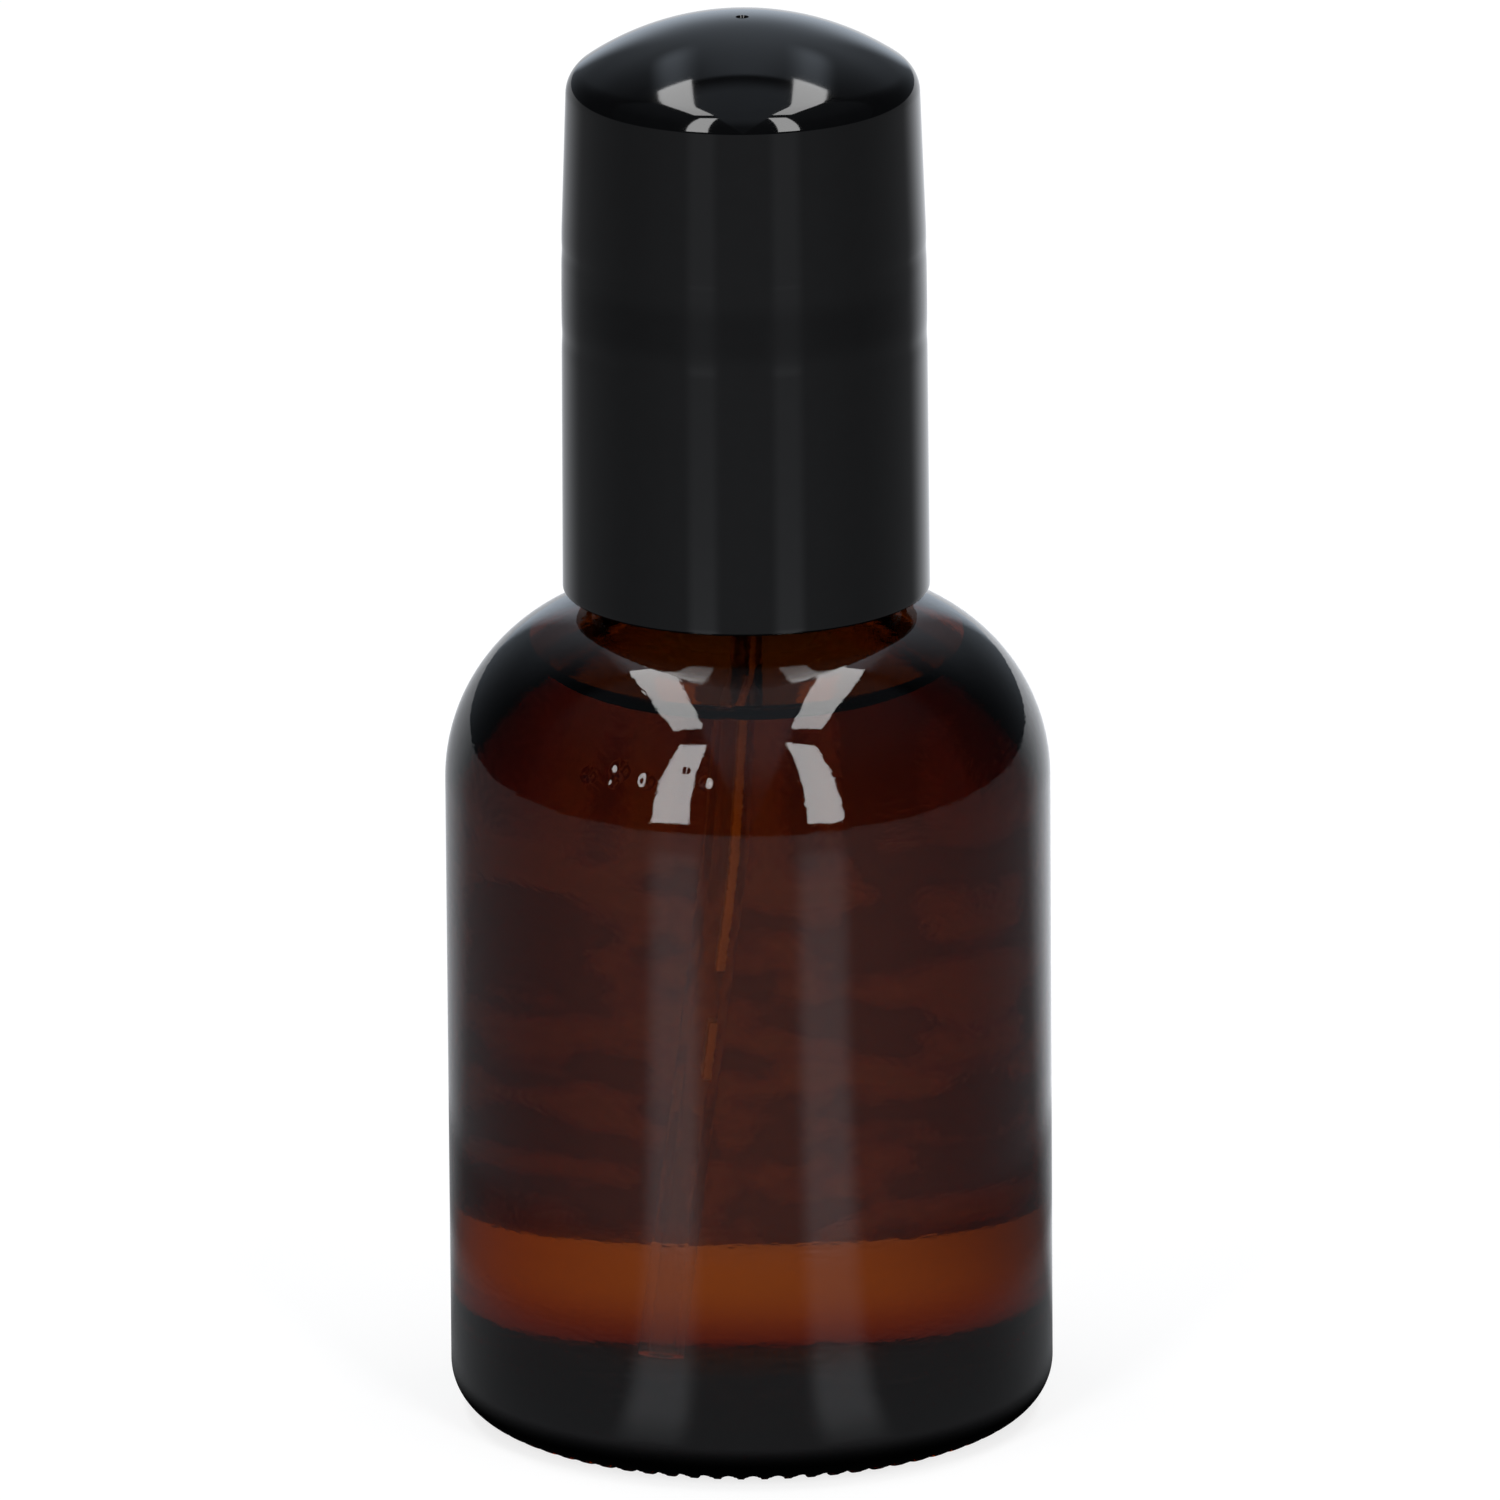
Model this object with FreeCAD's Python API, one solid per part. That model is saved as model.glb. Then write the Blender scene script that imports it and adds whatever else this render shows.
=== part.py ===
import FreeCAD, Part
import math
import os

from FreeCAD import Vector

# A glass oil bottle with a treatment pump under a tall overcap.
# All lengths are millimetres. Z is the bottle's axis and the base stands on Z = 0.
# The label on the far side faces +Y, the spout points to -Y and the dip tube leans to -X.

# Glass body
body_diameter = 35.0
glass_wall = 2.1
shoulder_start = 37.9        # height where the straight wall turns into the shoulder
shoulder_radius = 10.8
inner_shoulder_drop = 0.9    # how much lower the inside starts to turn in than the outside
crest_wall = 1.5             # glass over the top of the inner shoulder, at the neck
heel_radius = 2.8
base_thickness = 2.7         # glass under the edge of the inner floor
floor_crown = 0.8            # how far the middle of the inner floor stands above its edge
floor_corner_radius = 3.0
push_up = 1.2                # height of the hollow under the base
bearing_width = 2.4          # flat ring that the bottle stands on
knurl_count = 72
knurl_depth = 0.6
knurl_groove_radius = 0.45
knurl_length = 1.3           # how far each groove reaches into the flat ring
throat_radius = 1.0          # rounding where the inner shoulder turns up into the neck

# Screw neck
neck_diameter = 15.6
neck_height = 12.9           # from the shoulder to the lip
neck_bore_clearance = 0.5    # between the pump housing and the bore
lip_rounding = 0.4
thread_pitch = 3.175
thread_depth = 1.0
thread_root_width = 2.1
thread_crest_width = 1.0
thread_turns = 1.5
thread_below_lip = 1.9       # from the lip to the middle of the upper thread end
thread_sink = 0.2            # how far a thread ridge is rooted in its wall

# Oil
headspace = 5.1              # from the root of the neck down to the oil
meniscus = 1.4               # how far the oil climbs the glass
oil_film = 0.05              # room between the oil and what it wets

# Label
label_width = 44.0           # along the curve
label_thickness = 0.12
label_heel_margin = 4.8
label_shoulder_margin = 1.2
adhesive_film = 0.02

# Pump housing
gasket_thickness = 0.8
gasket_bore_clearance = 0.1
flange_thickness = 0.9
flange_overhang = 0.1        # flange and gasket beyond the neck
piston_bore = 6.6
plug_step = 0.6              # the bore is this much wider, per side, where the turret plugs in
plug_length = 2.2
plug_seat_gap = 0.1          # under the turret's plug
housing_wall = 0.7
press_gap = 0.02             # between pieces that are pressed together
vent_radius = 0.35
seat_hole_diameter = 1.4
seat_hole_length = 0.5
socket_wall = 0.8
socket_depth = 2.4
cone_drop = 0.2              # how far the outer cone reaches below the tube stop

# Inlet valve
ball_diameter = 2.3
ball_lift = 0.6
ball_side_clearance = 0.35
ball_end_clearance = 0.05
ball_seat_gap = 0.02
retainer_thickness = 0.6
retainer_bore = 1.6
retainer_port_radius = 0.5
retainer_port_circle = 3.4
retainer_port_count = 4

# Dip tube
tube_diameter = 1.8
tube_bore = 1.0
tube_lean = 5.0              # degrees
tube_bend_radius = 20.0
tube_straight_length = 0.4   # below the socket, before the bend
tube_floor_gap = 1.0

# Stem, valve plug and piston
stroke = 4.5
stroke_end_gap = 0.25        # left under the valve plug at the end of the stroke
stem_diameter = 3.8
stem_bore = 2.0
stem_flange_diameter = 8.8
stem_flange_thickness = 0.8
stem_head_length = 1.0       # how far the stem reaches above the ceiling of the button
stem_port_radius = 0.4
running_gap = 0.03           # radial, where a piece slides or turns on another
guide_gap = 0.08             # radial, between the stem and the turret
tip_diameter = 5.2
tip_thickness = 0.9
tip_pin_length = 0.8         # above the underside of the piston
piston_length = 2.2
piston_slip = 0.5
piston_top_gap = 0.2
piston_seat_gap = 0.05
piston_lip = 0.6
piston_waist = 0.3           # depth of the waist between the two lips
piston_relief = 0.4          # depth of the groove that faces the stem's ports

# Turret and return spring
turret_floor = 1.4
turret_depth = 6.4
turret_wall = 0.9
guide_height = 1.5
guide_wall = 0.7
spring_mean_diameter = 7.2
spring_wire = 0.5
spring_turns = 6
spring_spare = 0.8           # left between the turns at the end of the stroke
spring_seat_gap = 0.02
spring_side_clearance = 1.45

# Collar
collar_wall = 0.6
collar_deck = 1.25
collar_hole_clearance = 0.3
collar_above_shoulder = 1.0
collar_thread_clearance = 0.15
collar_ridge_depth = 0.9
collar_ridge_root_width = 1.5
collar_ridge_crest_width = 0.6
collar_ridge_turns = 1.25
collar_edge_rounding = 0.2
bead_height = 0.1
bead_width = 1.6
bead_below_deck = 6.0

# Button
skirt_clearance = 0.25
skirt_wall = 0.55
skirt_end_gap = 0.4          # left above the collar at the end of the stroke
ceiling_gap = 0.5            # left above the turret at the end of the stroke
head_thickness = 3.6
head_rounding = 0.8
head_dish = 0.5
head_rim = 1.5               # flat ring left round the dish
boss_wall = 1.3
boss_seat_gap = 0.05
spout_length = 1.5
spout_root_diameter = 2.8
spout_tip_diameter = 2.3
spout_bore = 1.0
spout_height = 1.6           # of its axis above the ceiling
chamber_height = 2.3         # of the cross chamber above the ceiling

# Overcap
overcap_wall = 0.9
overcap_bead_clearance = 0.05
overcap_crown_wall = 1.2
overcap_head_clearance = 2.4
overcap_above_shoulder = 0.65
overcap_draft = 0.1          # per side, over the long lower part
overcap_taper = 0.35         # per side, over the upper part
overcap_taper_length = 9.6
overcap_dome_radius = 16.4
overcap_edge_rounding = 1.9
overcap_rim_rounding = 0.2
stop_band_thickness = 0.7    # ring inside the overcap that rests on the collar
stop_band_height = 5.1
stop_band_gap = 0.03
gate_mark_diameter = 0.76
gate_mark_depth = 0.15

# Heights and radii that follow from the sizes above
body_radius = body_diameter / 2
inner_radius = body_radius - glass_wall
shoulder_centre = body_radius - shoulder_radius
neck_radius = neck_diameter / 2
neck_root = shoulder_start + math.sqrt(shoulder_radius**2 - (neck_radius - shoulder_centre) ** 2)
lip = neck_root + neck_height

plug_radius = piston_bore / 2 + plug_step
housing_radius = plug_radius + housing_wall
bore_radius = housing_radius + neck_bore_clearance
throat_edge = bore_radius + throat_radius
inner_shoulder_start = shoulder_start - inner_shoulder_drop
inner_shoulder_reach = inner_radius - throat_edge
inner_shoulder_rise = neck_root - crest_wall - inner_shoulder_start
inner_shoulder_radius = (inner_shoulder_reach**2 + inner_shoulder_rise**2) / (2 * inner_shoulder_reach)
inner_shoulder_centre = inner_radius - inner_shoulder_radius
flange_radius = neck_radius + flange_overhang
flange_bottom = lip + gasket_thickness
flange_top = flange_bottom + flange_thickness
plug_bottom = flange_top - plug_length

piston_top = plug_bottom - piston_slip - piston_top_gap
piston_bottom = piston_top - piston_length
tip_top = piston_bottom - piston_seat_gap
tip_bottom = tip_top - tip_thickness
retainer_top = tip_bottom - stroke - stroke_end_gap
chamber_floor = retainer_top - retainer_thickness
ball_radius = ball_diameter / 2
ball_centre = chamber_floor - ball_end_clearance - ball_lift - ball_radius
ball_chamber_radius = ball_radius + ball_side_clearance
seat_apex = ball_centre - (ball_radius + ball_seat_gap) * math.sqrt(2)
seat_hole_radius = seat_hole_diameter / 2
tube_stop = seat_apex + seat_hole_radius - seat_hole_length
socket_bottom = tube_stop - socket_depth
tube_radius = tube_diameter / 2
socket_radius = tube_radius + press_gap + socket_wall

stem_radius = stem_diameter / 2
turret_floor_top = flange_top + turret_floor
turret_top = turret_floor_top + turret_depth
turret_inner_radius = spring_mean_diameter / 2 + spring_wire / 2 + spring_side_clearance
turret_radius = turret_inner_radius + turret_wall
guide_radius = stem_radius + guide_gap
spring_length = stroke + (spring_turns + 1) * spring_wire + spring_spare
stem_flange_bottom = turret_floor_top + spring_length
stem_flange_top = stem_flange_bottom + stem_flange_thickness

thread_crest_radius = neck_radius + thread_depth
thread_top = lip - thread_below_lip
thread_bottom = thread_top - thread_turns * thread_pitch
collar_inner_radius = thread_crest_radius + collar_thread_clearance
collar_radius = collar_inner_radius + collar_wall
collar_bottom = neck_root + collar_above_shoulder
collar_top = flange_top + collar_deck
bead_radius = collar_radius + bead_height

ceiling = turret_top + stroke + ceiling_gap
skirt_bottom = collar_top + stroke + skirt_end_gap
skirt_inner_radius = turret_radius + skirt_clearance
skirt_radius = skirt_inner_radius + skirt_wall
head_top = ceiling + head_thickness
stem_top = ceiling + stem_head_length
spout_axis = ceiling + spout_height

overcap_inner_radius = bead_radius + overcap_bead_clearance
overcap_rim_radius = overcap_inner_radius + overcap_wall
overcap_rim = neck_root + overcap_above_shoulder
overcap_apex = head_top + overcap_head_clearance + overcap_crown_wall
overcap_waist_radius = overcap_rim_radius - overcap_draft
overcap_top_radius = overcap_waist_radius - overcap_taper
stop_band_bottom = collar_top + stop_band_gap

floor_edge = base_thickness
floor_centre = base_thickness + floor_crown
oil_level = neck_root - headspace

origin = Vector(0, 0, 0)
up = Vector(0, 0, 1)


def arc_middle(start, end, centre):
    """The point halfway along the shorter arc from start to end about centre."""
    radius = (start - centre).Length
    halfway = (start - centre) + (end - centre)
    return centre + halfway.normalize() * radius


def spin(outline):
    """A solid of revolution about Z. Each corner is (radius, height), or for a corner that an
    arc leads to, (radius, height, (radius and height of the arc's centre))."""
    corners = [Vector(corner[0], 0, corner[1]) for corner in outline]
    edges = []
    for index, corner in enumerate(outline):
        start, end = corners[index - 1], corners[index]
        if (end - start).Length < 1e-6:
            continue
        if len(corner) == 3:
            centre = Vector(corner[2][0], 0, corner[2][1])
            edges.append(Part.Arc(start, arc_middle(start, end, centre), end).toShape())
        else:
            edges.append(Part.LineSegment(start, end).toShape())
    return Part.Face(Part.Wire(edges)).revolve(origin, up, 360)


def dome_drop(dome_radius, radius):
    """How far a dome falls from its apex by the time it reaches the given radius."""
    return dome_radius - math.sqrt(dome_radius**2 - radius**2)


def round_circle(solid, rounding, radius, height):
    """Round the circular edges of the given radius and height."""
    chosen = []
    for edge in solid.Edges:
        if edge.Degenerated or not isinstance(edge.Curve, Part.Circle):
            continue
        if abs(edge.Curve.Radius - radius) < 1e-4 and abs(edge.Curve.Center.z - height) < 1e-4:
            chosen.append(edge)
    return solid.makeFillet(rounding, chosen)


def rotated(shape, degrees):
    copy = shape.copy()
    copy.rotate(origin, up, degrees)
    return copy


def ring_of(shape, count):
    """Evenly spaced copies of a shape round the axis."""
    return [rotated(shape, 360 * index / count) for index in range(count)]


def radial_hole(radius, start, end, height):
    """A round bar along -Y, from one radius to another."""
    return Part.makeCylinder(radius, end - start, Vector(0, -start, height), Vector(0, -1, 0))


def helix_ridge(root_radius, crest_radius, root_width, crest_width, turns, bottom):
    """A screw ridge whose middle climbs from the bottom height, starting on the +X side."""
    corners = [
        Vector(root_radius, 0, bottom - root_width / 2),
        Vector(crest_radius, 0, bottom - crest_width / 2),
        Vector(crest_radius, 0, bottom + crest_width / 2),
        Vector(root_radius, 0, bottom + root_width / 2),
    ]
    profile = Part.makePolygon(corners + corners[:1])
    helix = Part.makeHelix(thread_pitch, thread_pitch * turns, root_radius)
    helix.translate(Vector(0, 0, bottom))
    return Part.Wire(helix.Edges).makePipeShell([profile], True, True)


def cavity_outline(film):
    """The inside of the glass from the floor's middle to the bore, drawn in by a film."""
    radius = inner_radius - film
    corner = floor_corner_radius - film
    shoulder = inner_shoulder_radius - film
    bore = bore_radius - film
    throat = throat_radius + film
    corner_centre = (inner_radius - floor_corner_radius, floor_edge + floor_corner_radius)
    floor_radius = (corner_centre[0] ** 2 + floor_crown**2) / (2 * floor_crown)
    crest = inner_shoulder_start + math.sqrt(shoulder**2 - (throat_edge - inner_shoulder_centre) ** 2)
    return [
        (0, floor_centre + film),
        (corner_centre[0], floor_edge + film, (0, floor_centre + film - floor_radius)),
        (radius, corner_centre[1], (corner_centre[0], floor_edge + film + corner)),
        (radius, inner_shoulder_start),
        (throat_edge, crest, (inner_shoulder_centre, inner_shoulder_start)),
        (bore, crest + throat, (throat_edge, crest + throat)),
    ]


def bottle():
    bearing_radius = body_radius - heel_radius
    hollow_radius = bearing_radius - bearing_width
    push_up_radius = (hollow_radius**2 + push_up**2) / (2 * push_up)
    outside = [
        (bore_radius, lip - lip_rounding),
        (bore_radius + lip_rounding, lip, (bore_radius + lip_rounding, lip - lip_rounding)),
        (neck_radius - lip_rounding, lip),
        (neck_radius, lip - lip_rounding, (neck_radius - lip_rounding, lip - lip_rounding)),
        (neck_radius, neck_root),
        (body_radius, shoulder_start, (shoulder_centre, shoulder_start)),
        (body_radius, heel_radius),
        (bearing_radius, 0, (bearing_radius, heel_radius)),
        (hollow_radius, 0),
        (0, push_up, (0, push_up - push_up_radius)),
    ]
    glass = spin(cavity_outline(0) + outside)
    ridge = helix_ridge(
        neck_radius - thread_sink, thread_crest_radius, thread_root_width, thread_crest_width,
        thread_turns, thread_bottom,
    )
    groove = radial_hole(
        knurl_groove_radius, bearing_radius - knurl_length, body_radius, knurl_depth - knurl_groove_radius
    )
    return glass.fuse(ridge).cut(ring_of(groove, knurl_count))


def tube_bar(radius, bottom_extra):
    """A solid bar along the dip tube's path: straight out of the socket, one bend, straight down."""
    lean = math.radians(tube_lean)
    bend_start = socket_bottom - tube_straight_length
    bend_centre = Vector(-tube_bend_radius, 0, bend_start)
    bend_end = bend_centre + Vector(math.cos(lean), 0, -math.sin(lean)) * tube_bend_radius
    direction = Vector(-math.sin(lean), 0, -math.cos(lean))
    run = (bend_end.z - floor_centre - tube_floor_gap) / math.cos(lean) + bottom_extra
    straight = Part.makeCylinder(radius, tube_stop - bend_start, Vector(0, 0, bend_start))
    section = Part.Face(Part.Wire(Part.makeCircle(radius, Vector(0, 0, bend_start), up)))
    bend = section.revolve(bend_centre, Vector(0, 1, 0), tube_lean)
    lower = Part.makeCylinder(radius, run, bend_end, direction)
    return straight.fuse([bend, lower]).removeSplitter()


def dip_tube():
    return tube_bar(tube_radius, 0).cut(tube_bar(tube_bore / 2, tube_floor_gap))


def oil():
    filled = spin(cavity_outline(oil_film) + [(0, lip)])
    contact = oil_level + meniscus
    contact_radius = inner_shoulder_centre + math.sqrt(
        max((inner_shoulder_radius - oil_film) ** 2 - (contact - inner_shoulder_start) ** 2, 0)
    )
    foot = contact_radius - meniscus
    air = spin([
        (0, oil_level),
        (foot, oil_level),
        (contact_radius, contact, (foot, contact)),
        (body_radius, contact),
        (body_radius, lip + meniscus),
        (0, lip + meniscus),
    ])
    wet_tube = tube_bar(tube_radius + oil_film, oil_film)
    wet_tube = wet_tube.cut(tube_bar(tube_bore / 2 - oil_film, tube_floor_gap))
    housing_room = Part.makeCylinder(
        housing_radius + oil_film, lip - socket_bottom + oil_film, Vector(0, 0, socket_bottom - oil_film)
    )
    return filled.cut([air, wet_tube, housing_room])


def rear_label():
    inside = body_radius + adhesive_film
    angle = math.degrees(label_width / inside)
    low = heel_radius + label_heel_margin
    high = shoulder_start - label_shoulder_margin
    sheet = Part.makeCylinder(inside + label_thickness, high - low, Vector(0, 0, low), up, angle)
    sheet = sheet.cut(Part.makeCylinder(inside, high - low, Vector(0, 0, low)))
    return rotated(sheet, 90 - angle / 2)


def gasket():
    inside = bore_radius + gasket_bore_clearance
    return spin([
        (inside, lip),
        (flange_radius, lip),
        (flange_radius, flange_bottom),
        (inside, flange_bottom),
    ])


def pump_housing():
    cone_top = chamber_floor - housing_wall
    cone_bottom = tube_stop - cone_drop
    plug_seat = plug_bottom - plug_seat_gap
    body = spin([
        (plug_radius + press_gap, flange_top),
        (flange_radius, flange_top),
        (flange_radius, flange_bottom),
        (housing_radius, flange_bottom),
        (housing_radius, cone_top),
        (socket_radius, cone_bottom),
        (socket_radius, socket_bottom),
        (tube_radius + press_gap, socket_bottom),
        (tube_radius + press_gap, tube_stop),
        (seat_hole_radius, tube_stop),
        (seat_hole_radius, seat_apex + seat_hole_radius),
        (ball_chamber_radius, seat_apex + ball_chamber_radius),
        (ball_chamber_radius, chamber_floor),
        (piston_bore / 2, chamber_floor),
        (piston_bore / 2, plug_seat),
        (plug_radius + press_gap, plug_seat),
    ])
    vent = radial_hole(vent_radius, 0, housing_radius + neck_bore_clearance, plug_seat - vent_radius)
    return body.cut(vent)


def ball_retainer():
    outside = piston_bore / 2 - press_gap
    ring = spin([
        (retainer_bore / 2, chamber_floor),
        (outside, chamber_floor),
        (outside, retainer_top),
        (retainer_bore / 2, retainer_top),
    ])
    port = Part.makeCylinder(
        retainer_port_radius, retainer_thickness, Vector(retainer_port_circle / 2, 0, chamber_floor)
    )
    return ring.cut(ring_of(port, retainer_port_count))


def inlet_ball():
    return Part.makeSphere(ball_radius, Vector(0, 0, ball_centre))


def turret():
    guide_outside = guide_radius + guide_wall
    return spin([
        (guide_radius, plug_bottom),
        (plug_radius, plug_bottom),
        (plug_radius, flange_top),
        (turret_radius, flange_top),
        (turret_radius, turret_top),
        (turret_inner_radius, turret_top),
        (turret_inner_radius, turret_floor_top),
        (guide_outside, turret_floor_top),
        (guide_outside, turret_floor_top + guide_height),
        (guide_radius, turret_floor_top + guide_height),
    ])


def return_spring():
    """One round wire, wound in quarter-turn arcs from the turret's floor to the stem's flange."""
    wire_radius = spring_wire / 2
    mean_radius = spring_mean_diameter / 2
    climb = spring_length - spring_wire - 2 * spring_seat_gap
    bottom = turret_floor_top + spring_seat_gap + wire_radius

    def on_helix(quarter):
        angle = math.pi / 2 * quarter
        height = bottom + climb * quarter / (4 * spring_turns)
        return Vector(mean_radius * math.cos(angle), mean_radius * math.sin(angle), height)

    quarters = range(4 * spring_turns)
    arcs = [Part.Arc(on_helix(q), on_helix(q + 0.5), on_helix(q + 1)).toShape() for q in quarters]
    gap = min((on_helix(q + 4) - on_helix(0)).Length for q in quarters) - spring_wire
    print("least gap between the spring's turns", round(gap, 3))
    section = Part.Wire(Part.makeCircle(wire_radius, on_helix(0), arcs[0].tangentAt(arcs[0].FirstParameter)))
    return Part.Wire(arcs).makePipeShell([section], True, False)


def stem():
    outside = stem_flange_diameter / 2
    rod = spin([
        (stem_bore / 2, piston_bottom),
        (stem_radius, piston_bottom),
        (stem_radius, stem_flange_bottom),
        (outside, stem_flange_bottom),
        (outside, stem_flange_top),
        (stem_radius, stem_flange_top),
        (stem_radius, stem_top),
        (stem_bore / 2, stem_top),
    ])
    port_height = piston_bottom + tip_pin_length + stem_port_radius
    port = radial_hole(stem_port_radius, -stem_diameter, stem_diameter, port_height)
    return rod.cut(port)


def valve_plug():
    pin = stem_bore / 2 - press_gap
    return spin([
        (0, tip_bottom),
        (tip_diameter / 2, tip_bottom),
        (tip_diameter / 2, tip_top),
        (pin, tip_top),
        (pin, piston_bottom + tip_pin_length),
        (0, piston_bottom + tip_pin_length),
    ])


def piston():
    outside = piston_bore / 2 - running_gap
    waist = outside - piston_waist
    inside = stem_radius + running_gap
    groove = inside + piston_relief
    return spin([
        (inside, piston_bottom),
        (outside, piston_bottom),
        (outside, piston_bottom + piston_lip),
        (waist, piston_bottom + piston_lip + piston_waist),
        (waist, piston_top - piston_lip - piston_waist),
        (outside, piston_top - piston_lip),
        (outside, piston_top),
        (inside, piston_top),
        (inside, piston_top - piston_relief),
        (groove, piston_top - 2 * piston_relief),
        (groove, piston_bottom + 2 * piston_relief),
        (inside, piston_bottom + piston_relief),
    ])


def collar():
    hole = turret_radius + collar_hole_clearance
    bead_middle = collar_top - bead_below_deck
    bead_half = bead_width / 2
    bead_arc_radius = (bead_half**2 + bead_height**2) / (2 * bead_height)
    skirt = spin([
        (collar_inner_radius, collar_bottom),
        (collar_radius, collar_bottom),
        (collar_radius, bead_middle - bead_half),
        (collar_radius, bead_middle + bead_half, (bead_radius - bead_arc_radius, bead_middle)),
        (collar_radius, collar_top),
        (hole, collar_top),
        (hole, flange_top),
        (collar_inner_radius, flange_top),
    ])
    skirt = round_circle(skirt, collar_edge_rounding, collar_radius, collar_top)
    ridge = helix_ridge(
        collar_inner_radius + thread_sink, collar_inner_radius - collar_ridge_depth,
        collar_ridge_root_width, collar_ridge_crest_width,
        collar_ridge_turns, thread_bottom + thread_pitch / 2,
    )
    return skirt.fuse(ridge)


def actuator():
    bore = stem_radius + running_gap
    boss = bore + boss_wall
    boss_bottom = stem_flange_top + boss_seat_gap
    dish_edge = skirt_radius - head_rim
    dish_radius = (dish_edge**2 + head_dish**2) / (2 * head_dish)
    head = spin([
        (0, ceiling + chamber_height),
        (stem_bore / 2, ceiling + chamber_height),
        (stem_bore / 2, stem_top + press_gap),
        (bore, stem_top + press_gap),
        (bore, boss_bottom),
        (boss, boss_bottom),
        (boss, ceiling),
        (skirt_inner_radius, ceiling),
        (skirt_inner_radius, skirt_bottom),
        (skirt_radius, skirt_bottom),
        (skirt_radius, head_top),
        (dish_edge, head_top),
        (0, head_top - head_dish, (0, head_top - head_dish + dish_radius)),
    ])
    head = round_circle(head, head_rounding, skirt_radius, head_top)
    reach = skirt_radius + spout_length
    spout = Part.makeCone(
        spout_root_diameter / 2, spout_tip_diameter / 2, reach - boss,
        Vector(0, -boss, spout_axis), Vector(0, -1, 0),
    )
    channel = radial_hole(spout_bore / 2, 0, reach, spout_axis)
    return head.fuse(spout).cut(channel)


def overcap():
    dome_edge = overcap_apex - dome_drop(overcap_dome_radius, overcap_top_radius)
    waist = dome_edge - overcap_taper_length
    inner_apex = overcap_apex - overcap_crown_wall
    inner_dome = overcap_dome_radius - overcap_crown_wall
    dome_centre = (0, overcap_apex - overcap_dome_radius)
    inner_top_radius = overcap_top_radius - overcap_wall
    inner_edge = inner_apex - dome_drop(inner_dome, inner_top_radius)
    band_radius = overcap_inner_radius - stop_band_thickness
    band_top = stop_band_bottom + stop_band_height
    inner_waist_radius = overcap_waist_radius - overcap_wall
    shell = spin([
        (overcap_inner_radius, overcap_rim),
        (overcap_rim_radius, overcap_rim),
        (overcap_waist_radius, waist),
        (overcap_top_radius, dome_edge),
        (0, overcap_apex, dome_centre),
        (0, inner_apex),
        (inner_top_radius, inner_edge, dome_centre),
        (inner_waist_radius, waist),
        (inner_waist_radius, band_top),
        (band_radius, band_top),
        (band_radius, stop_band_bottom),
        (overcap_inner_radius, stop_band_bottom),
    ])
    shell = round_circle(shell, overcap_edge_rounding, overcap_top_radius, dome_edge)
    shell = round_circle(shell, overcap_rim_rounding, overcap_rim_radius, overcap_rim)
    gate = Part.makeCylinder(
        gate_mark_diameter / 2, 2 * gate_mark_depth, Vector(0, 0, overcap_apex - gate_mark_depth)
    )
    return shell.cut(gate)


pieces = [
    bottle, oil, rear_label, gasket, pump_housing, ball_retainer, inlet_ball, dip_tube,
    turret, return_spring, stem, valve_plug, piston, collar, actuator, overcap,
]

os.makedirs("parts", exist_ok=True)
for piece in pieces:
    shape = piece()
    shape.exportStep("parts/" + piece.__name__ + ".step")
    print(piece.__name__, shape.ShapeType, len(shape.Solids), shape.isValid(), round(shape.Volume, 2))
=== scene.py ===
import math

import bmesh
import bpy
from mathutils import Matrix, Vector


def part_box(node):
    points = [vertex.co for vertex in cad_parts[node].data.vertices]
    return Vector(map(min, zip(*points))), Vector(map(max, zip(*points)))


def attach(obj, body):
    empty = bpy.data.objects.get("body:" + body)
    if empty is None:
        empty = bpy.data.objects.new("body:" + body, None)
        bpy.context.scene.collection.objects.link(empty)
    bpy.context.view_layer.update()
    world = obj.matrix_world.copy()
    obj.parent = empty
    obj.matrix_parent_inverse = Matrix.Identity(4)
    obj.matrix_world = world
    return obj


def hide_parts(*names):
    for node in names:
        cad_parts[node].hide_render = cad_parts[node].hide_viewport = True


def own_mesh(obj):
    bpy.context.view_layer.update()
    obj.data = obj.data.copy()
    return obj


# The looks of a pump oil bottle. The glass, oil, label, overcap, dip tube and spring are modelled here,
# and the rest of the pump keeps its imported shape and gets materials.
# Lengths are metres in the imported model's frame: Z up, and -Y towards the viewer.

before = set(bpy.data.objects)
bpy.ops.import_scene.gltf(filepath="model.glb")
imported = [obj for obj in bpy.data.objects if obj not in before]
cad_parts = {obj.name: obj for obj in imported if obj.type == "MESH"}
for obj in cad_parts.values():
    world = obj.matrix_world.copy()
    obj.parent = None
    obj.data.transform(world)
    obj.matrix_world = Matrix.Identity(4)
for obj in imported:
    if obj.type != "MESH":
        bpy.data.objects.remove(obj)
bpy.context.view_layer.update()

MM = 0.001

# Corners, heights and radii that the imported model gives
bottle_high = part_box("bottle")[1]
oil_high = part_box("oil")[1]
label_low, label_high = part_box("rear_label")
overcap_low, overcap_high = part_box("overcap")
tube_low, tube_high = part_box("dip_tube")
spring_low, spring_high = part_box("return_spring")
collar_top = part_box("collar")[1].z
housing_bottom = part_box("pump_housing")[0].z
body_radius = bottle_high.x
lip = bottle_high.z
overcap_rim = overcap_low.z
overcap_apex = overcap_high.z
overcap_rim_radius = overcap_high.x

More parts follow.
